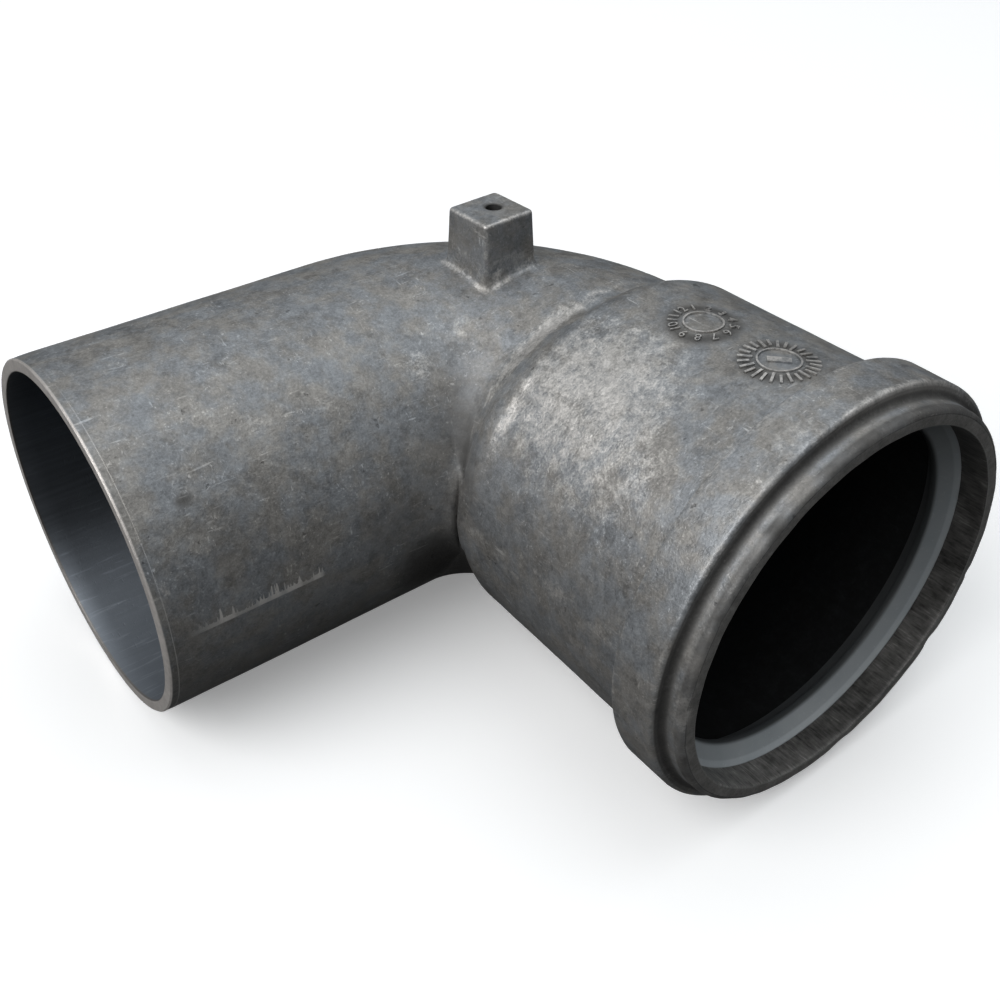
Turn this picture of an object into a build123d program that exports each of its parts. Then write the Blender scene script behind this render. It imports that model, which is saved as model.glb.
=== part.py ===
from build123d import *
from math import radians, sqrt, tan
import os

# A 90 degree cast aluminium flue elbow for 80 mm pipe, with a lip seal in its socket.
# Sizes are in millimetres. The origin is the centre of the spigot's open end. The
# spigot's axis runs along +X, the socket opens along -Y and the boss stands on +Z.

# Pipe and bend
pipe_radius = 40.0          # outside of the spigot, which an 80 mm socket takes
wall = 2.8                  # of spigot and bend
spigot_length = 69.0        # straight run from the open end to the bend
throat_radius = 2.0         # of the crotch, on the inside of the bend
end_chamfer = 0.4           # on the spigot's machined end

# Shoulder, neck and inside stop of the socket
socket_length = 71.0        # from the end of the bend to the mouth
pipe_room = 1.9             # round a pipe in the socket
neck_wall = 2.1             # at the shoulder
neck_draft = 0.8            # growth in radius up to the bead
shoulder_slope = 50.0       # degrees to the socket's axis, at its foot
shoulder_round = 11.0
stop_depth = 8.5            # from the end of the bend to the inside step

# Bead and lip at the mouth
lip_length = 5.1
lip_wall = 3.7
lip_bevel = 0.9             # on the lip's outer edge
lip_root_bevel = 1.0        # in the corner between lip and bead
bead_width = 10.9
bead_wall = 3.3             # outside the seal groove
bead_bevel = 0.8            # on the bead's front edge

# Groove and lip seal
groove_width = 8.0
groove_depth = 3.3
groove_cheek = 1.4          # metal between the groove and the front of the bead
seal_play = 0.1             # between the ring and its groove
seal_squeeze = 1.8          # how far a pipe pushes the lip out
seal_tip_depth = 3.6        # from the front of the groove to the tip
seal_tip_land = 1.5
seal_face_chamfer = 1.1
seal_proud = 0.4            # of the bore, behind the lip

# Boss on the outside of the bend
boss_height = 12.9          # over the top of the tube
boss_width = 13.5           # along the spigot
boss_depth = 12.9           # along the socket
boss_inset = 13.1           # of its centre from both axes
boss_draft = 2.5            # degrees
boss_turn = 3.0             # degrees, cast a little askew
boss_edge = 0.5             # bevel round its top
hole_radius = 1.7
hole_depth = 9.0
hole_along = 1.2            # off the boss's centre, along the spigot
hole_across = 0.5           # and along the socket
hole_mouth = 0.45           # worn countersink

# Radii that follow from the pipe
inside_radius = pipe_radius - wall
socket_bore = pipe_radius + pipe_room
neck_radius = socket_bore + neck_wall
lip_radius = socket_bore + lip_wall
groove_radius = socket_bore + groove_depth
bead_radius = groove_radius + bead_wall
seal_tip_radius = pipe_radius - seal_squeeze

# Distances along the socket's axis, from the crossing of the two centre lines
bend_radius = pipe_radius + throat_radius
stop_face = bend_radius + stop_depth
mouth = bend_radius + socket_length
bead_front = mouth - lip_length
bead_back = bead_front - bead_width
groove_front = bead_front - groove_cheek
groove_back = groove_front - groove_width

# Places of the sub-shapes
crossing = spigot_length + bend_radius
socket_frame = Location((crossing, 0, 0), (180, 0, 0))
bend_axis = Axis((spigot_length, -bend_radius, 0), (0, 0, -1))
boss_top = pipe_radius + boss_height
boss_frame = Location((crossing - boss_inset, -boss_inset, boss_top), (0, 0, boss_turn))


def socket_ring(outline):
    """Turn an outline of radius and distance round the socket's axis."""
    return socket_frame * revolve(make_face(outline), Axis.Y)


def spigot_body():
    """Straight run, with its machined end bevelled."""
    outline = Polyline(
        (0, 0),
        (0, pipe_radius - end_chamfer),
        (end_chamfer, pipe_radius),
        (spigot_length, pipe_radius),
        (spigot_length, 0),
        close=True,
    )
    return revolve(make_face(outline), Axis.X)


def bend_body(radius):
    """Quarter torus from the spigot's run to the socket's."""
    section = Plane((spigot_length, 0, 0), z_dir=(1, 0, 0)) * Circle(radius)
    return revolve(section, bend_axis, 90)


def socket_body():
    """Shoulder, neck, bead and lip, as one turned shape that grows out of the bend."""
    rise = neck_radius - pipe_radius
    shoulder_end = bend_radius + rise / tan(radians(shoulder_slope))
    outline = FilletPolyline(
        (0, bend_radius),
        (pipe_radius, bend_radius),
        (neck_radius, shoulder_end),
        (neck_radius + neck_draft, bead_back),
        (bead_radius, bead_back),
        (bead_radius, bead_front - bead_bevel),
        (bead_radius - bead_bevel, bead_front),
        (lip_radius + lip_root_bevel, bead_front),
        (lip_radius, bead_front + lip_root_bevel),
        (lip_radius, mouth - lip_bevel),
        (lip_radius - lip_bevel, mouth),
        (0, mouth),
        radius=[0, shoulder_round, 0, 0, 0, 0, 0, 0, 0, 0],
    )
    return socket_ring(outline + Line((0, mouth), (0, bend_radius)))


def socket_bore_body():
    """Inside of the socket, with the step that stops the next pipe."""
    step = socket_bore - inside_radius
    return socket_ring(Polyline(
        (0, bend_radius),
        (inside_radius, bend_radius),
        (inside_radius, stop_face - step),
        (socket_bore, stop_face),
        (socket_bore, mouth),
        (0, mouth),
        close=True,
    ))


def elbow_bore():
    """Open way through the casting, from one end to the other."""
    section = Plane((0, 0, 0), z_dir=(1, 0, 0)) * Circle(inside_radius)
    straight = extrude(section, spigot_length)
    return straight + bend_body(inside_radius) + socket_bore_body()


def seal_groove():
    """Square groove for the lip seal, inside the bead."""
    return socket_ring(Polyline(
        (pipe_radius, groove_back),
        (groove_radius, groove_back),
        (groove_radius, groove_front),
        (pipe_radius, groove_front),
        close=True,
    ))


def boss_body():
    """Drafted block, bevelled round its top and sunk into the bend's wall."""
    top = Rectangle(boss_width, boss_depth)
    block = extrude(top, inside_radius - boss_top, taper=-boss_draft)
    top_edges = block.faces().sort_by(Axis.Z)[-1].edges()
    return boss_frame * chamfer(top_edges, boss_edge)


def boss_hole():
    """Blind pilot hole for a thread-cutting screw, with a worn mouth."""
    drill_point = hole_radius / sqrt(3)
    outline = Polyline(
        (0, 0),
        (hole_radius + hole_mouth, 0),
        (hole_radius, -hole_mouth),
        (hole_radius, -hole_depth),
        (0, -hole_depth - drill_point),
        close=True,
    )
    drill = revolve(make_face(Plane.XZ * outline), Axis.Z)
    return boss_frame * Location((hole_along, hole_across, 0)) * drill


def elbow_casting():
    """The whole metal body, in one piece."""
    body = spigot_body() + bend_body(pipe_radius) + socket_body() + boss_body()
    return body - elbow_bore() - seal_groove() - boss_hole()


def socket_seal():
    """Lip ring: a square foot in the groove and a lip that leans inwards."""
    front = groove_front - seal_play
    back = groove_back + seal_play
    outside = groove_radius - seal_play
    behind_lip = socket_bore - seal_proud
    tip_front = groove_front - seal_tip_depth
    tip_back = tip_front - seal_tip_land
    return socket_ring(Polyline(
        (outside, back),
        (outside, front),
        (socket_bore, front),
        (socket_bore - seal_face_chamfer, front - seal_face_chamfer),
        (seal_tip_radius, tip_front),
        (seal_tip_radius, tip_back),
        (behind_lip, tip_front),
        (behind_lip, back),
        close=True,
    ))


parts = {"elbow_casting": elbow_casting(), "socket_seal": socket_seal()}
os.makedirs("parts", exist_ok=True)
for name, solid in parts.items():
    export_step(solid, f"parts/{name}.step")
    print(name, round(solid.volume / 1000, 2), "cm3")
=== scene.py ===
from math import pi, radians

import bpy
import numpy as np
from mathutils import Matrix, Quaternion, Vector, noise


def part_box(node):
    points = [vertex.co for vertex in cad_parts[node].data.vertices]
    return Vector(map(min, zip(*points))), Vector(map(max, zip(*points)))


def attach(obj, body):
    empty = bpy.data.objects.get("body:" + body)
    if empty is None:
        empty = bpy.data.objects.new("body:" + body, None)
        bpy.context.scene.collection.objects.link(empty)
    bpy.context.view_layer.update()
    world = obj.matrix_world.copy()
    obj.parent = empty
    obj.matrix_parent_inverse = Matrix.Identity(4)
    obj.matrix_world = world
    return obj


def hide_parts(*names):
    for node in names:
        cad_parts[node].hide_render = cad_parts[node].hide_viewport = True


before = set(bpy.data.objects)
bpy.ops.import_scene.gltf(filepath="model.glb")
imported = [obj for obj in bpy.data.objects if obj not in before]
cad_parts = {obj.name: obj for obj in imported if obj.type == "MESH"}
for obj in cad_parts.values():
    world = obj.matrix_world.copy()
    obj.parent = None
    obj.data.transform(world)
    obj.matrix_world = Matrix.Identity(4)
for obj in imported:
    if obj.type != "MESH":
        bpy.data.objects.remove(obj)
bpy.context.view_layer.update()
mm = 0.001

# The elbow, in millimetres. Distances along it run down the duct's centre line, from the
# spigot's open end; those of the socket are from the crossing of the two centre lines.
elbow = {
    "pipeRadius": 40.0,
    "wall": 2.8,
    "spigotLength": 69.0,
    "bendRadius": 42.0,
    "socketLength": 71.0,
    "aroundCount": 256,      # points round the duct
    "outsideStep": 1.15,     # between rings on the outside
    "insideStep": 4.5,
    "fineStep": 0.35,        # on rounded edges
}

socket = {
    "bore": 41.9,
    "neckRadius": 44.0,
    "neckDraft": 0.8,
    "slope": 50.0,           # degrees, at the foot of the shoulder
    "shoulderRound": 8.5,
    "valleyRound": 2.0,
    "stopDepth": 8.5,
    "stopRound": 1.6,
    "beadWidth": 10.9,
    "beadRadius": 48.5,
    "beadBackRound": 0.45,
    "beadRootRound": 0.5,
    "beadFrontRound": 1.0,
    "lipLength": 5.1,
    "lipRadius": 45.6,
    "lipTaper": 0.2,
    "lipRootRound": 1.5,
    "lipEdgeRound": 1.3,
    "mouthRound": 0.35,
    "grooveWidth": 8.0,
    "grooveRadius": 45.2,
    "grooveCheek": 1.4,
}

bendLength = elbow["bendRadius"] * pi / 2
bendEnd = elbow["spigotLength"] + bendLength
crossing = elbow["spigotLength"] + elbow["bendRadius"]
insideRadius = elbow["pipeRadius"] - elbow["wall"]
mouth = bendEnd + elbow["socketLength"]
beadFront = mouth - socket["lipLength"]
beadBack = beadFront - socket["beadWidth"]
grooveFront = beadFront - socket["grooveCheek"]
grooveBack = grooveFront - socket["grooveWidth"]
neckRise = socket["neckRadius"] - elbow["pipeRadius"]
shoulderEnd = bendEnd + neckRise / np.tan(radians(socket["slope"]))


def ductPoint(along, radius, around):
    # a point of the duct, in mm: around is 0 on top and a quarter turn on the outside of the bend
    turn = np.clip((along - elbow["spigotLength"]) / elbow["bendRadius"], 0, pi / 2)
    past = np.maximum(along - bendEnd, 0)
    centreX = np.minimum(along, elbow["spigotLength"]) + elbow["bendRadius"] * np.sin(turn)
    centreY = elbow["bendRadius"] * (np.cos(turn) - 1) - past
    out, up = radius * np.sin(around), radius * np.cos(around)
    return np.stack([centreX + out * np.sin(turn), centreY + out * np.cos(turn), up], -1)


def ductPlace(points):
    # the other way: distance along, radius and angle around, for points in mm
    x, y, z = points.T
    inSocket = y < -elbow["bendRadius"]
    inSpigot = (x < elbow["spigotLength"]) & ~inSocket
    dx, dy = x - elbow["spigotLength"], y + elbow["bendRadius"]
    turn = np.where(inSpigot, 0, np.where(inSocket, pi / 2, np.arctan2(dx, dy)))
    inBend = np.hypot(dx, dy) - elbow["bendRadius"]
    out = np.where(inSpigot, y, np.where(inSocket, x - crossing, inBend))
    along = np.where(inSpigot, x, elbow["spigotLength"] + turn * elbow["bendRadius"])
    along = np.where(inSocket, bendEnd - dy, along)
    return along, np.hypot(out, z), np.arctan2(out, z)


def unevenness(points, size, seed):
    # smooth noise between about -1 and 1, with lumps of that size in mm
    shift = Vector((seed * 17.3, seed * 5.1, seed * 9.7))
    return np.array([noise.noise(Vector(p) / size + shift) for p in points.tolist()])


def ramp(value, low, high):
    t = np.clip((value - low) / (high - low), 0, 1)
    return t * t * (3 - 2 * t)


def near(value, target, width):
    return np.exp(-(((value - target) / width) ** 2))


def neckAt(along):
    # radius of the drafted neck at a distance along the duct
    grown = socket["neckDraft"] * (along - shoulderEnd) / (beadBack - shoulderEnd)
    return socket["neckRadius"] + grown


def roundedOutline(corners):
    # the points of a closed outline; each corner is a distance, a radius, its rounding, and
    # the step between points on the run that follows it
    places = [np.array(c[:2], float) for c in corners]
    points = []
    for i, (_, _, rounding, step) in enumerate(corners):
        here = places[i]
        before, after = places[i - 1], places[(i + 1) % len(corners)]
        inward, outward = (before - here), (after - here)
        inward, outward = inward / np.linalg.norm(inward), outward / np.linalg.norm(outward)
        half = np.arccos(np.clip(inward @ outward, -1, 1)) / 2
        cut = rounding / np.tan(half) if rounding else 0.0
        start, stop = here + inward * cut, here + outward * cut
        if rounding:
            middle = (inward + outward) / np.linalg.norm(inward + outward)
            centre = here + middle * rounding / np.sin(half)
            a = np.arctan2(*(start - centre)[::-1])
            swing = (np.arctan2(*(stop - centre)[::-1]) - a + pi) % (2 * pi) - pi
            count = max(3, int(abs(swing) * rounding / elbow["fineStep"]) + 1)
            angles = a + swing * np.linspace(0, 1, count)
            points += [centre + rounding * np.array([np.cos(t), np.sin(t)]) for t in angles]
        else:
            points.append(here)
        nextRounding = corners[(i + 1) % len(corners)][2]
        afterNext = places[(i + 2) % len(corners)]
        back, onward = here - after, afterNext - after
        between = back @ onward / np.linalg.norm(back) / np.linalg.norm(onward)
        nextHalf = np.arccos(np.clip(between, -1, 1)) / 2
        reach = after - outward * (nextRounding / np.tan(nextHalf) if nextRounding else 0.0)
        runs = max(1, int(round(np.linalg.norm(reach - points[-1]) / step)))
        points += [points[-1] + (reach - points[-1]) * k / runs for k in range(1, runs)]
    return np.array(points)


spigotEnd = {
    "turnedLength": 1.8,
    "turnedDepth": 0.06,
    "edge": 0.3,
    "innerEdge": 0.25,
}


def castingOutline():
    # the wall's closed outline, from the spigot's end face along the outside and back inside
    step, inner, fine = elbow["outsideStep"], elbow["insideStep"], elbow["fineStep"]
    pipe, end = elbow["pipeRadius"], spigotEnd
    turned = pipe - end["turnedDepth"]
    stopFace = bendEnd + socket["stopDepth"]
    stopStep = socket["bore"] - insideRadius
    return roundedOutline([
        (0, insideRadius, end["innerEdge"], 0.5),
        (0, turned - end["edge"], 0, 0.3),
        (end["edge"], turned, 0, 0.6),
        (end["turnedLength"], turned, 0, 0.2),
        (end["turnedLength"] + end["turnedDepth"], pipe, 0, step),
        (bendEnd, pipe, socket["valleyRound"], fine),
        (shoulderEnd, socket["neckRadius"], socket["shoulderRound"], step),
        (beadBack, socket["neckRadius"] + socket["neckDraft"], socket["beadRootRound"], 0.7),
        (beadBack, socket["beadRadius"], socket["beadBackRound"], 0.9),
        (beadFront, socket["beadRadius"], socket["beadFrontRound"], 0.5),
        (beadFront, socket["lipRadius"], socket["lipRootRound"], 0.6),
        (mouth, socket["lipRadius"] - socket["lipTaper"], socket["lipEdgeRound"], 0.5),
        (mouth, socket["bore"], socket["mouthRound"], 0.7),
        (grooveFront, socket["bore"], 0, 0.9),
        (grooveFront, socket["grooveRadius"], 0, 2.0),
        (grooveBack, socket["grooveRadius"], 0, 2.0),
        (grooveBack, socket["bore"], 0, inner),
        (stopFace, socket["bore"], socket["stopRound"], 1.5),
        (stopFace - stopStep, insideRadius, socket["stopRound"], inner),
        (bendEnd, insideRadius, 0, 2.5),
        (elbow["spigotLength"], insideRadius, 0, inner),
    ])


def meshObject(name, points, faces, smoothAngle=40):
    mesh = bpy.data.meshes.new(name)
    mesh.from_pydata((np.asarray(points) * mm).tolist(), [], faces)
    mesh.validate()
    mesh.set_sharp_from_angle(angle=radians(smoothAngle))
    made = bpy.data.objects.new(name, mesh)
    bpy.context.scene.collection.objects.link(made)
    return made


def ringFaces(rings, count, closed):
    # quads between rings of count points each; closed joins the last ring to the first
    faces = []
    for i in range(rings if closed else rings - 1):
        a, b = i * count, (i + 1) % rings * count
        faces += [(a + k, a + (k + 1) % count, b + (k + 1) % count, b + k) for k in range(count)]
    return faces


def turnedMesh(name, outline, count):
    # the outline swept round the duct's centre line
    around = np.arange(count) * 2 * pi / count
    along, angle = np.meshgrid(outline[:, 0], around, indexing="ij")
    radius = np.repeat(outline[:, 1:2], count, 1)
    points = ductPoint(along, radius, angle).reshape(-1, 3)
    return meshObject(name, points, ringFaces(len(outline), count, True))


boss = {
    "height": 12.9,
    "width": 13.5,
    "depth": 12.9,
    "inset": 13.1,
    "draft": 2.5,
    "turn": 3.0,
    "corner": 1.1,
    "edgeRound": 0.8,
    "baseRound": 1.9,
    "holeRadius": 1.7,
    "holeDepth": 9.0,
    "holeAlong": 1.2,
    "holeAcross": 0.5,
    "holeMouth": 0.4,
    "aroundCount": 176,
}


def roundedSquare(angle, halfWidth, halfDepth, corner):
    # the point of a rounded rectangle that lies in each direction from its centre
    c, s = np.cos(angle), np.sin(angle)
    reach = 1 / np.maximum(np.abs(c) / halfWidth, np.abs(s) / halfDepth)
    x, y = reach * c, reach * s
    innerX, innerY = halfWidth - corner, halfDepth - corner
    inCorner = (np.abs(x) > innerX) & (np.abs(y) > innerY)
    cx, cy = np.sign(c) * innerX, np.sign(s) * innerY
    along = c * cx + s * cy
    arc = along + np.sqrt(np.maximum(along**2 - (cx**2 + cy**2 - corner**2), 0))
    reach = np.where(inCorner, arc, reach)
    return np.stack([reach * c, reach * s], -1)


def bendTop(x, y, depth=0.0):
    # height of the bend's outside over a point in plan, or of a surface that much under it
    out = np.hypot(x - elbow["spigotLength"], y + elbow["bendRadius"]) - elbow["bendRadius"]
    return np.sqrt((elbow["pipeRadius"] - depth) ** 2 - out**2)


def bossPlace():
    # centre of the boss in plan, and the turn from its own axes
    turn = radians(boss["turn"])
    spin = np.array([[np.cos(turn), -np.sin(turn)], [np.sin(turn), np.cos(turn)]])
    return np.array([crossing - boss["inset"], -boss["inset"]]), spin


def bossMesh():
    # rings from the foot of the hole, over the top and down the walls, then out onto the bend
    count = boss["aroundCount"]
    angle = np.arange(count) * 2 * pi / count
    circle = np.stack([np.cos(angle), np.sin(angle)], -1)
    centre, spin = bossPlace()
    shift = np.array([boss["holeAlong"], boss["holeAcross"]])
    top = elbow["pipeRadius"] + boss["height"]
    hole, mouthRadius = boss["holeRadius"], boss["holeRadius"] + boss["holeMouth"]
    spread = np.tan(radians(boss["draft"]))

    def plan(points):
        return points @ spin.T + centre

    def wallPlan(drop, inset=0.0):
        half = np.array([boss["width"], boss["depth"]]) / 2 + drop * spread - inset
        return plan(roundedSquare(angle, half[0], half[1], max(boss["corner"] - inset, 0.1)))

    rings = []
    depths = [(0.05, boss["holeDepth"] + 1), (hole, boss["holeDepth"])]
    depths += [(hole, d) for d in np.linspace(boss["holeDepth"], boss["holeMouth"], 9)[1:]]
    depths += [(mouthRadius, 0.12), (mouthRadius + 0.15, 0.02)]
    for radius, drop in depths:
        rings.append((plan(circle * radius + shift), np.full(count, top - drop)))
    flatEdge = wallPlan(0, boss["edgeRound"])
    rim = plan(circle * (mouthRadius + 0.3) + shift)
    for share in np.linspace(0, 1, 9):
        rings.append((rim + (flatEdge - rim) * share, np.full(count, top)))
    for bow in np.linspace(0, pi / 2, 6)[1:]:
        inset, drop = boss["edgeRound"] * (1 - np.sin(bow)), boss["edgeRound"] * (1 - np.cos(bow))
        rings.append((wallPlan(drop, inset), np.full(count, top - drop)))

    foot = wallPlan(boss["height"])
    footHeight = bendTop(*foot.T)
    outward = foot - centre
    outward /= np.linalg.norm(outward, axis=1)[:, None]
    base = boss["baseRound"]
    for share in np.linspace(0, 1, 14)[1:]:
        drop = boss["edgeRound"] + (top - footHeight - base - boss["edgeRound"]) * share
        halfWidth = boss["width"] / 2 + drop * spread
        halfDepth = boss["depth"] / 2 + drop * spread
        wall = np.stack([
            roundedSquare(angle[k:k + 1], halfWidth[k], halfDepth[k], boss["corner"])[0]
            for k in range(count)])
        rings.append((plan(wall), top - drop))
    startPlan, startHeight = rings[-1]
    landing = foot + outward * base
    landingHeight = bendTop(*landing.T) - 0.05
    for t in np.linspace(0, 1, 10)[1:]:
        a, b, c = (1 - t) ** 2, 2 * t * (1 - t), t * t
        plane = a * startPlan + b * foot + c * landing
        rings.append((plane, a * startHeight + b * footHeight + c * landingHeight))
    for reach, sunk in ((0.7, 0.5), (0.2, 1.4)):           # then down into the wall, to close it
        ring = landing + outward * reach
        rings.append((ring, bendTop(*ring.T, sunk)))
    for share in (0.5, 0.01):
        ring = centre + (landing - centre) * share
        rings.append((ring, bendTop(*ring.T, 1.4)))
    points = np.concatenate([np.column_stack([p, h]) for p, h in rings])
    faces = ringFaces(len(rings), count, False)
    last = (len(rings) - 1) * count
    faces += [tuple(range(count))[::-1], tuple(last + k for k in range(count))]
    return meshObject("boss_form", points, faces)


def unite(body, added):
    # cast the two into one
    join = body.modifiers.new("join", "BOOLEAN")
    join.operation = "UNION"
    join.solver = "EXACT"
    join.object = added
    depsgraph = bpy.context.evaluated_depsgraph_get()
    whole = bpy.data.meshes.new_from_object(body.evaluated_get(depsgraph))
    body.modifiers.clear()
    body.data = whole
    bpy.data.objects.remove(added)


def meshArrays(mesh):
    points = np.empty(len(mesh.vertices) * 3)
    mesh.vertices.foreach_get("co", points)
    normals = np.empty(len(mesh.vertices) * 3)
    mesh.vertices.foreach_get("normal", normals)
    return points.reshape(-1, 3) / mm, normals.reshape(-1, 3)


casting = {
    "waves": (0.10, 24.0),       # depth and size of the unevenness of the cast walls
    "ripples": (0.035, 7.0),
    "flashHeight": 0.10,         # of the parting line
    "flashWidth": 0.8,
    "valleyFillet": (2.0, 10.5),  # size of the fillet in the valley, on top and in the crotch
    "valleyWidest": -82.0,       # angle at which that fillet is largest
    "shoulderBlend": 2.0,
    "valleyRidge": (0.16, 0.55, 25.0),   # height, width and angle at which it is highest
    "lipWaves": (0.14, 5.0),
    # dents in the lip's outer edge: angle, width and depth
    "lipDents": ((-88, 2.6, 0.7), (-101, 1.6, 0.35), (-62, 1.2, 0.3),
                 (168, 3.0, 0.4), (128, 1.8, 0.45), (105, 1.2, 0.4)),
}


def onBoss(points):
    reach = np.abs(points[:, :2] - bossPlace()[0]).max(1)
    return (reach < boss["width"] / 2 + boss["baseRound"] + 0.4) & (points[:, 2] > 30)


def blended(a, b, size):
    # the smaller of two distances, with the corner between them filled
    share = np.clip(0.5 + 0.5 * (b - a) / size, 0, 1)
    return b + (a - b) * share - size * share * (1 - share)


def valleyDistance(points, size):
    # distance from the tube and the shoulder, with the valley between them filled
    x, y, z = points.T
    along, radius, _ = ductPlace(points)
    fromAxis = np.hypot(x - crossing, z)
    past = y + elbow["bendRadius"]
    slope = radians(socket["slope"])
    pipe = elbow["pipeRadius"]
    fromEnd = np.hypot(past, np.maximum(fromAxis - pipe, 0))
    beyond = np.maximum(x - elbow["spigotLength"], 0)
    fromSpigot = np.hypot(np.maximum(np.hypot(y, z) - pipe, 0), beyond)
    tube = np.where(past < 0, np.minimum(fromEnd, fromSpigot), radius - pipe)
    shoulder = (fromAxis - pipe) * np.cos(slope) + past * np.sin(slope)
    neck = fromAxis - socket["neckRadius"]
    return blended(tube, -blended(-shoulder, -neck, casting["shoulderBlend"]), size)


def fillValley(points):
    # let the tube run into the shoulder, mostly on the inside of the bend
    along, radius, around = ductPlace(points)
    small, large = casting["valleyFillet"]
    side = np.cos(around - radians(casting["valleyWidest"]))
    size = small + (large - small) * ramp(side, 0.35, 0.95)
    nearby = (along > 40) & (radius > elbow["pipeRadius"] - 0.3) & ~onBoss(points)
    nearby &= (along < bendEnd + 9) & (size > small + 0.1)
    nearby &= (along < bendEnd + 5) | (radius > socket["bore"] + 0.3)    # not the stop inside
    moved, size = points[nearby], size[nearby]
    for _ in range(4):                         # move out until they lie on the filled surface
        here = valleyDistance(moved, size)
        steps = [valleyDistance(moved + 0.02 * axis, size) - here for axis in np.eye(3)]
        slope = np.stack(steps, -1) / 0.02
        push = -here / np.maximum((slope**2).sum(1), 0.2)
        moved = moved + slope * np.clip(push, 0, 1.5)[:, None]
    points[nearby] = moved


def roughenCasting(piece):
    # the slightly uneven walls, parting line and battered lip of the real casting
    points, normals = meshArrays(piece.data)
    along, radius, around = ductPlace(points)
    outside = ramp(radius, elbow["pipeRadius"] - 0.6, elbow["pipeRadius"] - 0.2)
    fillValley(points)
    cast = outside * ramp(along, 1.8, 4.0) * (1 - ramp(along, beadFront - 1, beadFront + 1))
    depth, size = casting["waves"]
    move = depth * unevenness(points, size, 1)
    depth, size = casting["ripples"]
    move += depth * unevenness(points, size, 2)
    moved = points + normals * (move * cast)[:, None]
    line = near(points[:, 2], 0, casting["flashWidth"]) * cast
    patchy = 0.6 + 0.6 * unevenness(points * [1, 1, 0], 9.0, 3)
    moved += normals * (casting["flashHeight"] * line * np.clip(patchy, 0, 1.2))[:, None]
    height, width, angle = casting["valleyRidge"]
    ridge = near(along, bendEnd - 0.3, width) * ramp(np.cos(around - radians(angle)), 0.3, 0.6)
    moved += normals * (height * ridge * outside)[:, None]
    depth, size = casting["lipWaves"]
    lip = ramp(along, mouth - 2.0, mouth - 0.4)
    moved[:, 1] += lip * depth * (0.6 + unevenness(points * [1, 0, 1], size, 4))
    outerEdge = lip * ramp(radius, socket["lipRadius"] - 2.2, socket["lipRadius"] - 0.6)
    for angle, width, depth in casting["lipDents"]:
        side = ((np.degrees(around) - angle + 180) % 360 - 180) * radians(1) * socket["lipRadius"]
        moved[:, 1] += depth * outerEdge * near(side, 0, width)
    low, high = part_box("elbow_casting")
    moved = np.clip(moved, np.array(low) / mm, np.array(high) / mm)
    piece.data.vertices.foreach_set("co", (moved * mm).ravel())
    piece.data.update()


dials = {
    # distance along the duct, angle around it, and turn of the dial
    "months": {"along": 158.7, "around": 0.0, "turn": 25.0},
    "ticks": {"along": 177.9, "around": 1.0, "turn": 45.0},
    "radius": 8.0,
    "relief": 0.38,
    "ringWidth": 0.42,
    "innerRings": (0.5, 0.53),   # share of the radius
    "numbers": 12,
    "numberSize": 3.0,
    "numberReach": 0.79,
    "tickCount": 26,
    "tickLengths": (2.9, 2.3),
    "tickWidth": 0.55,
    "bar": (4.6, 1.7),
    "sunk": 0.15,                # into the neck
}


def flatBar(length, width, steps=2):
    # rings of four points, so that a long bar can follow the curve of the neck
    points = [(x, side * width / 2, h) for x in np.linspace(-length / 2, length / 2, steps)
              for side, h in ((-1, 0), (1, 0), (1, 1), (-1, 1))]
    faces = ringFaces(steps, 4, False)
    last = 4 * (steps - 1)
    return np.array(points, float), faces + [(0, 1, 2, 3), (last + 3, last + 2, last + 1, last)]


def flatRing(radius, width, count=72):
    angle = np.arange(count) * 2 * pi / count
    circle = np.stack([np.cos(angle), np.sin(angle), angle * 0], -1)
    section = ((0, 0), (width, 0), (width, 1), (0, 1))
    rings = [circle * (radius + dr) + [0, 0, h] for dr, h in section]
    return np.concatenate(rings), ringFaces(4, count, True)


def flatNumber(text, size):
    curve = bpy.data.curves.new("number", "FONT")
    curve.body, curve.size, curve.extrude, curve.resolution_u = text, size, 0.5, 2
    curve.align_x, curve.align_y = "CENTER", "CENTER"
    holder = bpy.data.objects.new("number", curve)
    mesh = bpy.data.meshes.new_from_object(holder)
    points = np.array([v.co for v in mesh.vertices]) + [0, 0, 0.5]
    faces = [tuple(p.vertices) for p in mesh.polygons]
    bpy.data.objects.remove(holder)
    bpy.data.curves.remove(curve)
    bpy.data.meshes.remove(mesh)
    return points, faces


def placedOn(shape, angle, reach):
    # turn a flat shape and move it out from the dial's centre
    points, faces = shape
    c, s = np.cos(angle), np.sin(angle)
    turned = points[:, :2] @ np.array([[c, -s], [s, c]]) + np.array([s, c]) * reach
    return np.column_stack([turned, points[:, 2]]), faces


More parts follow.
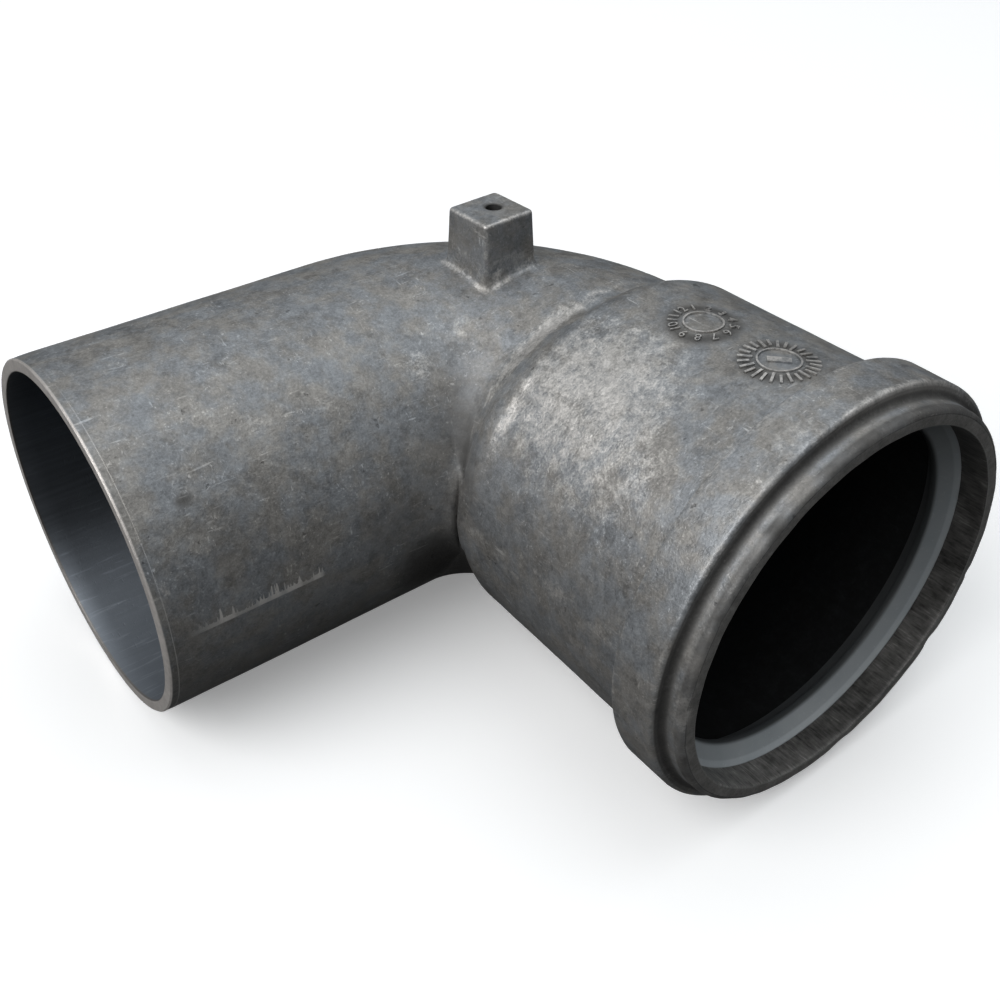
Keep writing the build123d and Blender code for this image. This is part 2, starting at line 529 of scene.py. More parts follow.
def dialMesh():
    # raised rings, numbers and ticks, bent onto the neck
    outer = dials["radius"] - dials["ringWidth"]
    inner = [flatRing(outer * share, dials["ringWidth"]) for share in dials["innerRings"]]
    months = inner[:1]
    for k in range(dials["numbers"]):
        angle = 2 * pi * k / dials["numbers"]
        number = flatNumber(str(k + 1), dials["numberSize"])
        months.append(placedOn(number, angle, outer * dials["numberReach"]))
    ticks = inner[1:] + [flatBar(*dials["bar"], 12)]
    for k in range(dials["tickCount"]):
        length = dials["tickLengths"][k % 2]
        angle = 2 * pi * k / dials["tickCount"]
        tick = flatBar(dials["tickWidth"], length)
        ticks.append(placedOn(tick, angle, outer - length / 2 + 0.35))
    points, faces = [], []
    for name, shapes in (("months", months), ("ticks", ticks)):
        dial = dials[name]
        for shape in shapes:
            flat, shapeFaces = placedOn(shape, radians(dial["turn"]), 0)
            along = dial["along"] - flat[:, 1]
            neck = neckAt(along)
            around = radians(dial["around"]) + flat[:, 0] / neck
            start = sum(len(p) for p in points)
            sunk = dials["sunk"]
            height = neck - sunk + flat[:, 2] * (sunk + dials["relief"])
            points.append(ductPoint(along, height, around))
            faces += [tuple(i + start for i in face) for face in shapeFaces]
    return meshObject("dials", np.concatenate(points), faces)


def makeCasting():
    piece = turnedMesh("casting", castingOutline(), elbow["aroundCount"])
    unite(piece, bossMesh())
    unite(piece, dialMesh())
    roughenCasting(piece)
    piece.data.set_sharp_from_angle(angle=radians(40))
    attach(piece, "root")
    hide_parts("elbow_casting")
    return piece


sealRing = {
    "play": 0.1,
    "tipRadius": 38.2,
    "tipDepth": 3.6,
    "tipLand": 1.5,
    "faceChamfer": 1.1,
    "proud": 0.4,
    "edge": 0.25,
}


def makeSeal():
    outer = socket["grooveRadius"] - sealRing["play"]
    front, back = grooveFront - sealRing["play"], grooveBack + sealRing["play"]
    behindLip = socket["bore"] - sealRing["proud"]
    tipFront = grooveFront - sealRing["tipDepth"]
    tipBack = tipFront - sealRing["tipLand"]
    edge, chamfer = sealRing["edge"], sealRing["faceChamfer"]
    outline = roundedOutline([
        (back, outer, 0, 2.0),
        (front, outer, 0, 1.5),
        (front, socket["bore"], edge, 0.4),
        (front - chamfer, socket["bore"] - chamfer, edge, 0.6),
        (tipFront, sealRing["tipRadius"], 0.45, 0.4),
        (tipBack, sealRing["tipRadius"], 0.3, 0.5),
        (tipFront, behindLip, 0.3, 0.8),
        (back, behindLip, 0, 1.2),
    ])
    piece = turnedMesh("lip_seal", outline[::-1], elbow["aroundCount"])
    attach(piece, "root")
    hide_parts("socket_seal")
    return piece


castingPiece = makeCasting()
castingMesh = castingPiece.data
print("casting:", len(castingMesh.vertices), "points,", len(castingMesh.polygons), "faces")
sealPiece = makeSeal()
print("seal:", len(sealPiece.data.polygons), "faces")


rubbedAndHighlightPlaces = {
    # rubbed places; neckFront, neckCrescent, valley, valleyMid, valleyLow, valleyDeep, valleyHigh
    # and valleyTop are painted highlights laid over the rubbing
    # distance along the duct, angle around it, half length, half width in mm, and strength
    "neckFront": (155, -36, 17, 15, 0.70),
    "neckLow": (168, -48, 13, 10, 0.42),
    "neckCrescent": (141.6, -42, 2.2, 15, 0.66),
    "valley": (128.7, -31, 3.4, 10, 1.0),
    "valleyMid": (124.8, -42, 2.6, 6, 0.80),
    "valleyLow": (120.5, -51, 1.8, 5, 0.45),
    "valleyDeep": (112, -64, 2.2, 4, 0.40),
    "valleyHigh": (130.8, -14, 1.6, 12, 0.72),
    "valleyTop": (134.4, 12, 0.9, 14, 0.42),
    "partingFar": (60, -92, 6, 0.7, 0.45),
    "partingNeck": (142.5, -89, 4.0, 1.4, 0.45),
    "partingLow": (154, -91, 10, 0.5, 0.45),
    "nick": (157, -85, 0.6, 1.8, 0.6),
    "nickFar": (162, -86, 0.6, 1.8, 0.55),
    "valleyFlecks": (128, -35, 6, 10, 0.42),
    "bendTop": (95, -30, 13, 4, 0.22),
    "bendFlecks": (71, -40, 6, 4, 0.42),
    "spigotScuff": (22, -33, 5, 3.5, 0.22),
    "spigotScuffFar": (31, -40, 4, 2.4, 0.26),
    "spigotScuffHigh": (34, -20, 11, 6, 0.17),
    "spigotScuffLow": (44, -41, 6, 2.0, 0.26),
    "flankRub": (168, -85, 3.5, 1.6, 0.60),
    "flankRubLow": (182, -86, 3.0, 1.2, 0.60),
    "neckNick": (146.2, -24, 1.6, 0.7, 0.95),
    "beadWorn": (200.7, 10, 1.0, 18, 0.85),
    "beadWornMid": (198.0, -27, 3.2, 13, 0.24),
    "beadWornLow": (200.6, -62, 1.3, 14, 0.20),
    "lipRub": (205.2, -87, 1.6, 4, 0.70),
    "bossFoot": (104.4, -12, 2.4, 2.4, 0.55),
    "crotchRidge": (67.6, -85, 0.7, 4.5, 0.60),
    "spigotBurr": (2.9, -73, 1.1, 1.6, 0.55),
}

darkPlaces = {
    # pits, stains and marks on the spigot and bend; throat, bendUnder, bendLow, bendFlank,
    # shoulderLow and neckSide are painted shade in the crotch and on the low flanks
    "spigotPit": (12.1, -52, 1.7, 1.3, 0.70),
    "spigotPitFar": (27.8, -58, 1.1, 0.9, 0.50),
    "spigotStain": (15.5, -71, 3.4, 2.6, 0.26),
    "spigotMarks": (21, -44, 4.5, 2.6, 0.20),
    "bendTick": (119, -12, 2.4, 0.5, 0.55),
    "throat": (98, -98, 32, 31, 0.93),
    "bendUnder": (66, -109, 14, 13, 0.90),
    "bendLow": (54, -84, 12, 7, 0.35),
    "bendFlank": (78, -68, 13, 9, 0.55),
    "shoulderLow": (132, -78, 11, 12, 0.55),
    "neckSide": (160, -84, 26, 14, 0.28),
}


skin = {
    # how worn: strength, and how much of it comes and goes along an edge
    "beadBack": (0.50, 0.5),
    "beadFront": (0.04, 0.3),
    "lipOuter": 0.12,
    "dialTops": 0.70,
    "bossEdge": 0.72,
    "bossCorner": 0.30,
    "bossFoot": 0.34,
    # how grimy, and how much painted shade
    "flankShade": 0.20,
    "undersideShade": 0.32,
    "gutterGrimeAndShade": (0.72, 0.22),
    "lipOuterShade": (0.56, -0.34),
    "beadFootShade": 0.85,
    "grooveShade": 0.95,
    "ductShade": 0.9,
    "dialShade": 0.72,
    "bossGrimeAndShade": 0.22,
    "crumbs": 0.5,               # round the mouth of the boss's hole
}


def placeMasks(along, around, places):
    # how strongly each point lies in one of the named places
    total = np.zeros_like(along)
    for centre, angle, length, width, strength in places.values():
        side = radians(1) * ((np.degrees(around) - angle + 180) % 360 - 180) * elbow["pipeRadius"]
        away = ((along - centre) / length) ** 2 + (side / width) ** 2
        total = np.maximum(total, strength * np.exp(-0.7 * away**1.5))   # flat, then falling off
    return total


def storeMask(mesh, name, values):
    vector = values.ndim == 2
    layer = mesh.attributes.new(name, "FLOAT_VECTOR" if vector else "FLOAT", "POINT")
    layer.data.foreach_set("vector" if vector else "value", values.astype(np.float32).ravel())


def bossMasks(points):
    # worn and grimy shares on the boss and its foot, with painted shade filling the hole
    centre, spin = bossPlace()
    local = (points[:, :2] - centre) @ spin
    drop = elbow["pipeRadius"] + boss["height"] - points[:, 2]
    spread = np.clip(drop, 0, 20) * np.tan(radians(boss["draft"]))
    size = np.array([boss["width"], boss["depth"]]) / 2
    away = size + spread[:, None] - np.abs(local)
    topEdge = near(drop, 0.3, 0.45) * near(away.min(1), 0.3, 0.6) * skin["bossEdge"]
    corner = near(away.max(1), 0.4, 0.5) * near(away.min(1), 0.15, 0.5) * (drop > 0.6)
    corner = corner * skin["bossCorner"]
    foot = (drop > 8) * near(away.min(1), -0.6, 0.8) * skin["bossFoot"]
    fromHole = np.hypot(*(local - [boss["holeAlong"], boss["holeAcross"]]).T)
    inHole = (drop > 0.1) & (fromHole < boss["holeRadius"] + 0.25)
    crumbs = near(fromHole, boss["holeRadius"] + 0.5, 0.3) * (drop < 0.3) * skin["crumbs"]
    walls = skin["bossGrimeAndShade"] * (drop < 11) * (drop > 0.6)
    # painted shade inside the hole, grime on the walls and round its mouth
    grimeAndShade = np.where(inHole, 1.0, np.maximum(walls, crumbs))
    return np.maximum(np.maximum(topEdge, corner), foot), grimeAndShade


def storeCastingMasks(mesh):
    # what the finish needs to know of each point: worn with painted highlights, grimy with painted
    # shade, turned on a lathe, inside the duct
    points, normals = meshArrays(mesh)
    along, radius, around = ductPlace(points)
    side = np.degrees(around)
    boxed = onBoss(points)
    uneven = unevenness(points, 5.0, 6)
    facingIn = (normals * (ductPoint(along, radius - 1, around) - points)).sum(1) > 0.3
    wall = np.where(along < bendEnd + socket["stopDepth"], insideRadius, socket["bore"])
    inside = (radius < wall + 0.5) & facingIn & (along < grooveBack + 0.3) & ~boxed

    wearAndHighlight = placeMasks(along, around, rubbedAndHighlightPlaces)
    # less painted highlight on the shoulder's band, which faces away from the light
    bandStart = bendEnd - 2.8 + 4.4 * ramp(side, -25, 5)
    wearAndHighlight *= np.where(along > bandStart, 0.6 + 0.4 * ramp(along, 139.2, 140.2), 1)
    onBead = near(radius, socket["beadRadius"], 0.5)
    for edge, width, (strength, change) in ((beadBack + 0.2, 0.4, skin["beadBack"]),
                                            (beadFront - 0.8, 0.7, skin["beadFront"])):
        wearAndHighlight = np.maximum(wearAndHighlight, onBead * near(along, edge, width) * (strength + change * uneven))
    lipOuter = ramp(radius, 44.3, 44.6) * ramp(along, beadFront + 2.2, beadFront + 3.2)
    wearAndHighlight = np.maximum(wearAndHighlight, lipOuter * skin["lipOuter"] * uneven)

    down = -normals[:, 2]
    # painted shade, darker on faces that turn downwards
    under = skin["flankShade"] * ramp(down, -0.45, 0.05)
    under += skin["undersideShade"] * ramp(down, -0.1, 0.8)
    under *= radius > elbow["pipeRadius"] - 0.6
    # this mask holds real stains and, mostly, painted shade
    grimeAndShade = np.maximum(under, placeMasks(along, around, darkPlaces))
    # the gutter before the bead: real grime and painted shade in the corner
    gutter = ramp(along, beadFront - 0.15, beadFront + 0.1)
    gutter *= 1 - ramp(along, beadFront + 0.8, beadFront + 2.4)
    gutter *= ramp(radius, 44.5, 45.2)
    strength, change = skin["gutterGrimeAndShade"]
    grimeAndShade = np.maximum(grimeAndShade, gutter * (strength + change * near(along, beadFront + 0.3, 0.5)))
    # painted shade on the lip's outer edge, holding down the lamp's sheen there
    strength, change = skin["lipOuterShade"]
    grimeAndShade = np.maximum(grimeAndShade, lipOuter * (strength + change * uneven))
    # painted shade in the crease at the bead's foot
    beadFoot = near(along, beadBack - 0.2, 0.4)
    beadFoot *= ramp(radius, 43, 44.4) * ramp(47.8 - radius, 0, 0.8)
    grimeAndShade = np.maximum(grimeAndShade, beadFoot * skin["beadFootShade"])
    # painted shade in the seal's groove
    inGroove = (along > grooveBack - 0.3) & (along < grooveFront + 0.3)
    inGroove &= (radius > socket["bore"] + 0.15) & (radius < socket["grooveRadius"] + 0.3)
    grimeAndShade = np.where(inGroove, skin["grooveShade"], grimeAndShade)
    # painted shade deep inside the socket
    grimeAndShade = np.where(inside & (along > 75), np.maximum(grimeAndShade, skin["ductShade"]), grimeAndShade)
    onNeck = (along > 142) & (along < beadBack - 0.5) & (radius > socket["bore"] + 1)
    raised = np.zeros_like(along)
    for name in ("months", "ticks"):
        across = (side - dials[name]["around"] + 180) % 360 - 180
        across *= radians(1) * socket["neckRadius"]
        away = np.hypot(along - dials[name]["along"], across)
        # painted shade around and between the raised marks, cleared on their tops
        aroundDial = near(away, dials["radius"] * 0.78, 2.2)
        grimeAndShade = np.maximum(grimeAndShade, onNeck * aroundDial * skin["dialShade"])
        onDial = onNeck * (away < dials["radius"] + 0.3)
        raised = np.maximum(raised, onDial * ramp(radius - neckAt(along), 0.2, 0.32))
    grimeAndShade *= 1 - raised
    wearAndHighlight = np.maximum(wearAndHighlight, raised * skin["dialTops"])
    bossWorn, bossGrimeAndShade = bossMasks(points)
    wearAndHighlight = np.where(boxed, np.maximum(bossWorn, wearAndHighlight * (points[:, 2] < 42)), wearAndHighlight)
    grimeAndShade = np.where(boxed, bossGrimeAndShade, grimeAndShade)

    endFace = (along < spigotEnd["edge"] + 0.05) & (radius > insideRadius - 0.05)
    land = (along > grooveFront - 0.2) & (radius < socket["bore"] + 0.3)
    storeMask(mesh, "wearAndHighlight", np.clip(wearAndHighlight, 0, 1))
    storeMask(mesh, "grimeAndShade", np.clip(grimeAndShade, 0, 1))
    storeMask(mesh, "turned", endFace * 1.0)
    storeMask(mesh, "land", land * 1.0)
    storeMask(mesh, "duct", inside * 1.0)
    straight = np.stack([along, radius * np.cos(around), radius * np.sin(around)], -1)
    storeMask(mesh, "straight", mm * straight)       # as if the duct weren't bent


def onValues(operation, swapped=False):
    def apply(self, other):
        pair = (other, self) if swapped else (self, other)
        return self.graph.add("ShaderNodeMath", {"operation": operation}, dict(enumerate(pair)))
    return apply


class Value:
    # an output socket; arithmetic on it adds Math nodes
    def __init__(self, graph, socket):
        self.graph, self.socket = graph, socket

    __add__, __radd__ = onValues("ADD"), onValues("ADD", True)
    __sub__, __rsub__ = onValues("SUBTRACT"), onValues("SUBTRACT", True)
    __mul__, __rmul__ = onValues("MULTIPLY"), onValues("MULTIPLY", True)
    max = onValues("MAXIMUM")

    def fade(self, low, high):
        # smoothly from 0 at low to 1 at high
        return self.graph.add("ShaderNodeMapRange", {"interpolation_type": "SMOOTHSTEP"},
                              {"Value": self, "From Min": low, "From Max": high})

    def towards(self, target, share):
        return self + (target - self) * share


class Graph:
    def __init__(self, tree):
        self.tree = tree

    def add(self, kind, settings=None, sockets=None, output=0):
        node = self.tree.nodes.new(kind)
        for name, value in (settings or {}).items():
            setattr(node, name, value)
        for key, value in (sockets or {}).items():
            if isinstance(value, Value):
                self.tree.links.new(value.socket, node.inputs[key])
            else:
                node.inputs[key].default_value = value
        return Value(self, node.outputs[output])

    def stored(self, name, output="Fac"):
        return self.add("ShaderNodeAttribute", {"attribute_name": name}, output=output)

    def grain(self, place, size, detail=3.0, rough=0.55, stretch=(1, 1, 1), turn=(0, 0, 0),
              shift=0.0):
        # noise with lumps of that size in mm, longer along an axis where stretch is under 1
        mapping = {"Vector": place, "Scale": stretch, "Location": (shift, shift * 0.7, shift * 0.3),
                   "Rotation": [radians(t) for t in turn]}
        moved = self.add("ShaderNodeMapping", {"vector_type": "POINT"}, mapping)
        sockets = {"Vector": moved, "Scale": 1 / (size * mm), "Detail": detail, "Roughness": rough}
        return self.add("ShaderNodeTexNoise", {}, sockets)

    def mix(self, share, first, second):
        sockets = {0: share, 6: first, 7: second}
        return self.add("ShaderNodeMix", {"data_type": "RGBA"}, sockets, output=2)

    def scaled(self, colour, amount):
        return self.add("ShaderNodeVectorMath", {"operation": "SCALE"}, {0: colour, "Scale": amount})

    def parts(self, vector):
        return [self.add("ShaderNodeSeparateXYZ", {}, {0: vector}, output=k) for k in range(3)]

    def band(self, value, low, high, soft):
        # 1 between low and high, in mm, fading out over soft
        low, high, soft = low * mm, high * mm, soft * mm
        return value.fade(low - soft, low + soft) * (1 - value.fade(high - soft, high + soft))


def makeMaterial(name, build, fixed):
    # build returns the varying inputs of the shader, fixed holds the others
    material = bpy.data.materials.new(name)
    material.use_nodes = True
    graph = Graph(material.node_tree)
    shader = material.node_tree.nodes["Principled BSDF"]
    varying = build(graph)
    if "height" in varying:
        bump = {"Height": varying.pop("height"), "Strength": 1.0, "Distance": mm}
        varying["Normal"] = graph.add("ShaderNodeBump", {}, bump)
    for key, value in varying.items():
        graph.tree.links.new(value.socket, shader.inputs[key])
    for key, value in fixed.items():
        shader.inputs[key].default_value = value
    return material


castMetal = {
    "tone": 0.285,
    "wearAndHighlightTone": 0.60,
    "burrTone": 0.62,            # of the parting line
    "turnedTone": 0.72,
    "scribedTone": 0.42,
    "lipFaceTone": 0.24,
    "landTone": 0.30,
    # the inside of the duct is painted dark as shade
    "ductShadeTone": 0.045,
    "scratchTone": 0.20,         # added
    "fleckTone": 0.24,
    "pitShade": 0.40,            # taken away
    "stainShade": 0.20,
    # the next darkens real grime and painted shade alike
    "grimeAndShadeDarkening": 0.86,
    "cool": (0.955, 1.0, 1.05, 1),
    "warm": (1.04, 1.0, 0.94, 1),
    "wearAndHighlightTint": (1.04, 1.0, 0.955, 1),
    # the next tints real grime and painted shade alike
    "grimeAndShadeTint": (1.03, 1.0, 0.955, 1),
    "ductTint": (0.90, 1.0, 1.13, 1),
    "turnedTint": (1.06, 1.0, 0.95, 1),
    "metallic": 0.62,
    "roughness": 0.50,
}


def partingStreaks(g, straight):
    # bright burrs that stand up from the parting line near the spigot's end, and the line itself
    along, up, out = g.parts(straight)
    lengthwise = g.add("ShaderNodeCombineXYZ", {}, {0: along, 1: up * 0.06})
    spikes = g.grain(lengthwise, 0.65, 1.0, 0.4).fade(0.46, 0.72)
    clumps = g.grain(lengthwise, 5.0, 1.0, 0.4, shift=1.3).fade(0.38, 0.56)
    height = (0.45 + clumps * 0.45 + spikes * (0.4 + clumps * 2.2)) * mm
    inside = (height - up).fade(0.0, 0.12 * mm) * up.fade(-0.45 * mm, -0.2 * mm)
    reach = along.fade(0.004, 0.012) * (1 - along.fade(0.034, 0.036))
    return inside * reach * (1 - out.fade(-0.03, -0.02)) * clumps.max(0.6)


def castFinish(g):
    m = castMetal
    place = g.stored("place", "Vector")
    straight = g.stored("straight", "Vector")
    wearAndHighlight, grimeAndShade = g.stored("wearAndHighlight"), g.stored("grimeAndShade")
    turned, land, duct = g.stored("turned"), g.stored("land"), g.stored("duct")

    # the grain of the cast skin, from coarse to fine
    patch = g.grain(place, 16, 2.0)
    blotch = g.grain(place, 5.0, 4.0, 0.62, shift=0.3)
    mottle = g.grain(place, 1.5, 4.0, 0.65, shift=0.7)
    fine = g.grain(place, 0.5, 3.0, 0.65, shift=1.1)
    cluster = g.grain(place, 8, 3.0, 0.6, shift=3.1).fade(0.47, 0.66)

    # scratches three ways, flecks, pits and stains
    strokes = [g.grain(place, 0.8, 2.0, 0.5, (0.13, 1, 1), (10, 25, 38), 0.4),
               g.grain(place, 0.8, 2.0, 0.5, (1, 0.13, 1), (-28, 12, 55), 1.7),
               g.grain(place, 0.7, 2.0, 0.5, (1, 1, 0.16), (30, -20, 8), 2.9)]
    scratch = strokes[0].max(strokes[1]).max(strokes[2]).fade(0.65, 0.74)
    fleck = fine.fade(0.57, 0.70) * mottle.fade(0.50, 0.62)
    pit = g.grain(place, 2.4, 2.0, 0.5, shift=5.2).fade(0.71, 0.77)
    stain = g.grain(place, 5.0, 4.0, 0.72, shift=7.7).fade(0.55, 0.64)
    along, up, out = g.parts(straight)
    turned = turned * (1 - along.fade(0.3 * mm, 0.6 * mm))
    radius = g.add("ShaderNodeVectorMath", {"operation": "LENGTH"},
                   {0: g.add("ShaderNodeCombineXYZ", {}, {0: up, 1: out})}, output=1)
    atMouth = along.fade((mouth - 2.2) * mm, (mouth - 1.4) * mm)
    lipFace = atMouth * (1 - radius.fade(44.15 * mm, 44.35 * mm)) * (1 - land)
    lipLine = atMouth * g.band(radius, 44.25, 44.55, 0.12)

    # rubbed places with painted highlights, and grimy places with painted shade, broken up
    coarse = g.grain(place, 2.9, 4.0, 0.6, shift=4.7)
    breakUp = (mottle - 0.5) * 1.3 + (fine - 0.5) * 1.3
    breakUp = breakUp + (blotch - 0.5) * 1.2 + (coarse - 0.5) * 1.8
    gate = wearAndHighlight.fade(0.04, 0.30)
    wearAndHighlightShare = (wearAndHighlight + gate * breakUp * 0.62).fade(0.12, 0.90)
    # the extra share of the mask brightens the valley's painted highlight further
    wearAndHighlightShare = (wearAndHighlightShare * 0.82 + wearAndHighlight * 0.22) * (1 - lipFace)
    burr = partingStreaks(g, straight)
    grimeAndShadeShare = (grimeAndShade + grimeAndShade.fade(0.03, 0.25) * breakUp * 0.16).max(lipLine * 0.7).fade(0.0, 1.0)

    grey = 1 + (patch - 0.5) * 0.45 + (blotch.fade(0.38, 0.62) - 0.5) * 0.17
    grey = grey + (mottle.fade(0.38, 0.62) - 0.5) * 0.20 + (fine - 0.5) * 0.95
    tone = m["tone"] * grey + scratch * (0.2 + cluster) * m["scratchTone"]
    tone = tone + fleck * (0.25 + cluster) * m["fleckTone"]
    tone = tone * (1 - pit * m["pitShade"]) * (1 - stain * m["stainShade"])
    wearAndHighlightGrain = 1 + (coarse - 0.5) * 0.9 + (mottle - 0.5) * 0.8 + (fine - 0.5) * 1.0
    # rubbed metal and painted highlights are lighter
    tone = tone.towards(m["wearAndHighlightTone"] * wearAndHighlightGrain, wearAndHighlightShare)
    tone = tone.towards(m["burrTone"], burr)
    # darker where grimy and where shade is painted
    tone = tone * (1 - grimeAndShadeShare * m["grimeAndShadeDarkening"])
    skim = spigotEnd["turnedLength"]
    scribe = g.band(along, skim - 0.1, skim + 0.1, 0.07) * (1 - duct)
    scribe = scribe * (0.25 + (1 - out.fade(-0.02, 0.0)))
    tone = tone.towards(m["scribedTone"], scribe * 0.6)
    # the machined end, the bore of the socket's mouth, the lip's face and the duct, whose dark tone
    # is painted shade
    lathe = g.grain(straight, 0.3, 2.0, 0.5, (1, 0.3, 0.3), shift=0.2)
    tone = tone.towards(m["turnedTone"] * (0.75 + lathe * 0.3 + (blotch - 0.5) * 0.5), turned)
    drawn = g.grain(straight, 1.1, 3.0, 0.6, (0.05, 1, 1), shift=0.9)
    scuffs = g.grain(straight, 0.55, 3.0, 0.6, (0.14, 1, 1), shift=6.3)
    landGrain = 1 + (scuffs - 0.5) * 2.2 + (blotch - 0.5) * 2.0 + (mottle - 0.5) * 0.8
    landTone = m["landTone"] * landGrain
    landTone = landTone + scuffs.fade(0.60, 0.70) * blotch.fade(0.4, 0.6) * 0.22
    # the land is darker towards its +X side, as painted shade
    tone = tone.towards((landTone * (1 - out.fade(-0.03, 0.02) * 0.72)).max(0.01), land)
    faceGrain = 1 + (blotch - 0.5) * 1.0 + (mottle - 0.5) * 1.1 + (fine - 0.5) * 0.8
    faceTone = m["lipFaceTone"] * faceGrain + (1 - radius.fade(42.0 * mm, 42.35 * mm)) * 0.18
    tone = tone.towards(faceTone * (1 - grimeAndShade * 0.5), lipFace)
    # painted light along the bottom of the spigot's bore near its end, painted shade elsewhere
    # inside
    lit = (1 - up.fade(-0.036, -0.015)) * (1 - along.fade(0.03, 0.08))
    drag = g.grain(straight, 1.2, 3.0, 0.55, (0.10, 1, 1), shift=4.1).fade(0.58, 0.74)
    ductShadeTone = m["ductShadeTone"] * (1.1 + drawn * 1.2 + lit * 4.0) + drag * (0.04 + lit * 0.07)
    tone = tone.towards(ductShadeTone * (1 - grimeAndShadeShare * 0.97), duct)

    tint = g.mix(g.grain(place, 7, 3.0, 0.6, shift=2.3).fade(0.35, 0.65), m["cool"], m["warm"])
    tint = g.mix(wearAndHighlightShare.max(burr), tint, m["wearAndHighlightTint"])
    tint = g.mix(grimeAndShadeShare.max(land).max(lipFace), tint, m["grimeAndShadeTint"])
    tint = g.mix(duct, tint, m["ductTint"])
    tint = g.mix(turned, tint, m["turnedTint"])

    calm = 1 - turned.max(duct).max(land) * 0.75
    roughness = m["roughness"] + (blotch - 0.5) * 0.25 + (mottle - 0.5) * 0.2 - wearAndHighlightShare * 0.12
    roughness = (roughness + grimeAndShadeShare * 0.2).towards(0.45, turned.max(duct * 0.6))
    roughness = roughness.towards(0.95, duct * grimeAndShadeShare)
    metallic = m["metallic"] + wearAndHighlightShare * 0.2 - grimeAndShadeShare * 0.33 + turned * 0.1 - burr * 0.2
    height = ((mottle - 0.5) * 0.09 + (fine - 0.5) * 0.07 + (blotch - 0.5) * 0.12) * calm
    height = height - scratch * 0.015 - pit * 0.06 * calm
    height = height + drawn * duct * 0.03 + scuffs * land * 0.04
    return {"Base Color": g.scaled(tint, tone), "Roughness": roughness,
            "Metallic": metallic.max(0.0), "height": height}


rubber = {
    "tone": 0.33,
    # the seal is painted darker behind the lip's tip, as shade
    "behindTipShadeTone": 0.16,            # share of that behind the lip's tip
    "tint": (0.90, 1.0, 1.06, 1),
    "dustTint": (0.96, 1.0, 1.02, 1),
    "roughness": 0.48,
}


def storeSealMasks(mesh):
    along, radius, _ = ductPlace(meshArrays(mesh)[0])
    front = grooveFront - sealRing["play"]
    tipFront = grooveFront - sealRing["tipDepth"]
    storeMask(mesh, "front", ramp(along, tipFront - 0.05, tipFront + 0.6))
    onChamfer = (along > front - sealRing["faceChamfer"] + 0.1) & (radius < socket["bore"] + 0.05)
    storeMask(mesh, "chamfer", onChamfer * 1.0)


def sealFinish(g):
    place = g.stored("place", "Vector")
    cloud = g.grain(place, 9, 3.0)
    dust = g.grain(place, 0.8, 3.0, shift=0.6)
    front, chamfer = g.stored("front"), g.stored("chamfer")
    tone = rubber["tone"] * (0.9 + (cloud - 0.5) * 0.3 + dust.fade(0.58, 0.8) * 0.15)
    # painted light and shade: the seal is lighter on its -X side and darker towards +X
    tone = tone * (1.45 - g.parts(place)[0].fade(0.07, 0.15) * 0.6)
    # painted shade behind the lip's tip
    tone = tone * (rubber["behindTipShadeTone"] + front * (1 - rubber["behindTipShadeTone"])) * (1 + chamfer * 0.25)
    return {"Base Color": g.scaled(g.mix(cloud, rubber["tint"], rubber["dustTint"]), tone),
            "Roughness": rubber["roughness"] + (cloud - 0.5) * 0.2,
            "height": (dust - 0.5) * 0.01 + (cloud - 0.5) * 0.08}


def dress(piece, material):
    points, _ = meshArrays(piece.data)
    storeMask(piece.data, "place", points * mm)
    piece.data.materials.clear()
    piece.data.materials.append(material)


storeCastingMasks(castingMesh)
storeSealMasks(sealPiece.data)
dress(castingPiece, makeMaterial("cast_aluminium", castFinish, {"IOR": 1.5}))
dress(sealPiece, makeMaterial("seal_silicone", sealFinish, {"Metallic": 0.0, "IOR": 1.41}))
print("finishes: cast metal and seal")


cameraView = {
    "place": (-0.04946, -0.20714, 0.16320),
    "look": (0.4832, 0.6227, -0.6154),
    "roll": 0.494,
    "lens": 43.30,
}

studio = {
    "floorNormal": (-0.0101, -0.0893, 1.0),   # the elbow lies on its bend and its bead
    "floorHeight": -0.04089,
    "floorSize": 3.0,
    "floorTone": 0.95,
    "floorGlow": 0.24,           # seen by the camera only
    "bounceTone": 0.04,          # of the light that the floor throws back
    "mirroredTone": 0.14,
    "roomColour": (0.93, 0.97, 1.0, 1),
    "roomStrength": 0.52,
    "lamps": {
        # place, size, power and colour
        "key": ((-1.12, -0.16, 1.12), 1.4, 19, (1, 1, 1)),
        "ceiling": ((0.55, 0.0, 1.45), 1.6, 4.4, (0.95, 0.98, 1.0)),
    },
    "lampsFace": (0.08, -0.04, 0.0),
}


def makeCamera():
    data = bpy.data.cameras.new("camera")
    data.lens = cameraView["lens"]
    data.clip_start, data.clip_end = 0.01, 20
    camera = bpy.data.objects.new("camera", data)
    bpy.context.scene.collection.objects.link(camera)
    camera.location = cameraView["place"]
    camera.rotation_mode = "QUATERNION"
    level = Vector(cameraView["look"]).to_track_quat("-Z", "Y")
    camera.rotation_quaternion = level @ Quaternion((0, 0, 1), radians(cameraView["roll"]))
    bpy.context.scene.camera = camera


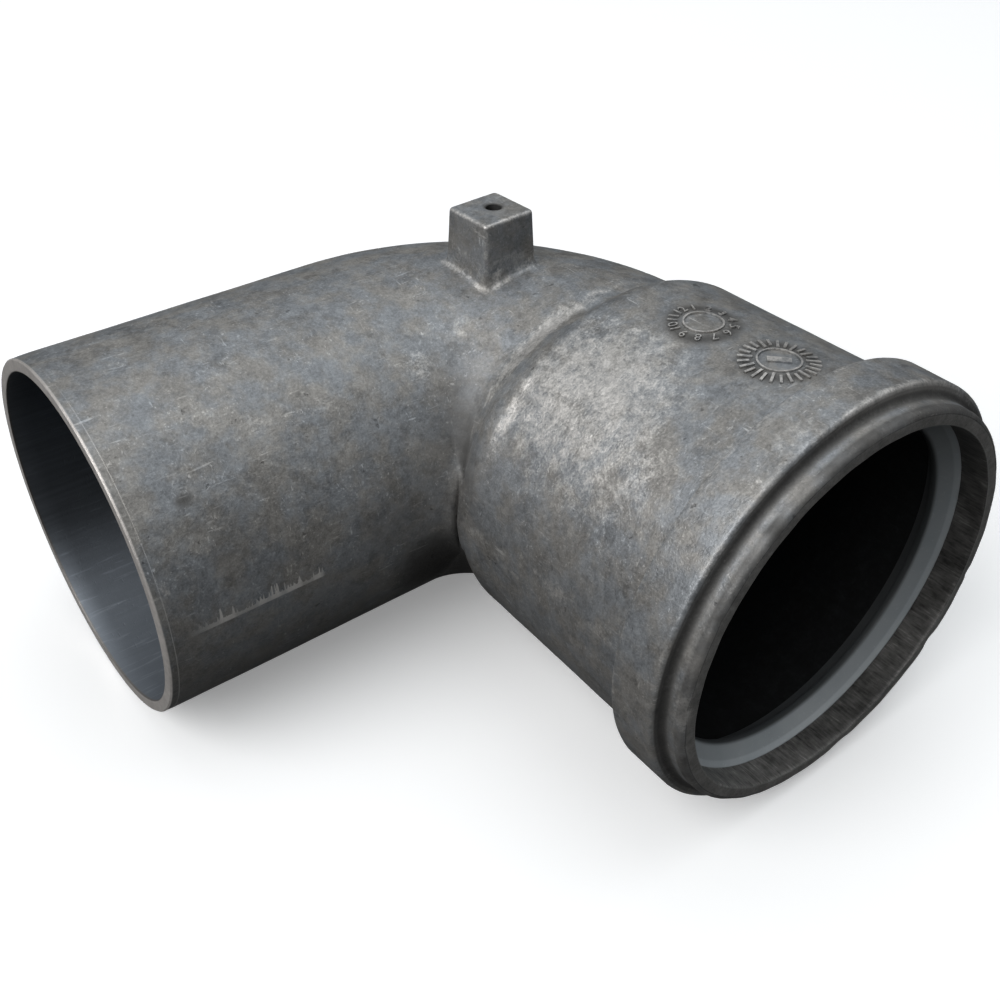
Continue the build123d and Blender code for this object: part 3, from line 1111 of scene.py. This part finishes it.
def floorFinish(g):
    # pale to the camera and in reflections, and dull to the light that it would throw up
    ray = {name: g.add("ShaderNodeLightPath", output=name)
           for name in ("Is Camera Ray", "Is Transmission Ray", "Is Glossy Ray")}
    seen = ray["Is Camera Ray"].max(ray["Is Transmission Ray"])
    tone = studio["bounceTone"] + seen * (studio["floorTone"] - studio["bounceTone"])
    tone = tone + ray["Is Glossy Ray"] * (studio["mirroredTone"] - studio["bounceTone"])
    white = (1, 1, 1)
    return {"Base Color": g.scaled(white, tone),
            "Emission Color": g.scaled(white, seen * studio["floorGlow"])}


def makeFloor():
    half = studio["floorSize"] / 2
    a, b, _ = studio["floorNormal"]
    corners = [(x, y, studio["floorHeight"] - a * x - b * y) for x, y in
               ((-half, -half), (half, -half), (half, half), (-half, half))]
    floor = meshObject("floor", np.array(corners) / mm, [(0, 1, 2, 3)])
    fixed = {"Roughness": 0.9, "Specular IOR Level": 0.1, "Emission Strength": 1.0}
    floor.data.materials.append(makeMaterial("floor", floorFinish, fixed))


def makeRoom():
    # dim soft light, mostly from above, and plain white to the camera
    world = bpy.data.worlds.new("room")
    bpy.context.scene.world = world
    world.use_nodes = True
    g = Graph(world.node_tree)
    height = g.parts(g.add("ShaderNodeTexCoord", output="Generated"))[2]
    strength = studio["roomStrength"] * (0.03 + height.fade(0.0, 0.9))
    seen = g.add("ShaderNodeLightPath", output="Is Camera Ray")
    room = world.node_tree.nodes["Background"]
    colour = g.mix(seen, studio["roomColour"], (1, 1, 1, 1))
    world.node_tree.links.new(colour.socket, room.inputs["Color"])
    world.node_tree.links.new(strength.towards(1.0, seen).socket, room.inputs["Strength"])


def makeLamp(name, place, size, power, colour):
    data = bpy.data.lights.new(name, "AREA")
    data.shape = "DISK"
    data.size = size
    data.energy = power
    data.color = colour
    lamp = bpy.data.objects.new(name, data)
    bpy.context.scene.collection.objects.link(lamp)
    lamp.location = place
    towards = Vector(studio["lampsFace"]) - Vector(place)
    lamp.rotation_mode = "QUATERNION"
    lamp.rotation_quaternion = towards.to_track_quat("-Z", "Y")


makeCamera()
makeFloor()
makeRoom()
for lampName, lampValues in studio["lamps"].items():
    makeLamp(lampName, *lampValues)
bpy.context.scene.view_settings.view_transform = "Standard"
print("stage: camera, floor, room and", len(studio["lamps"]), "lamps")
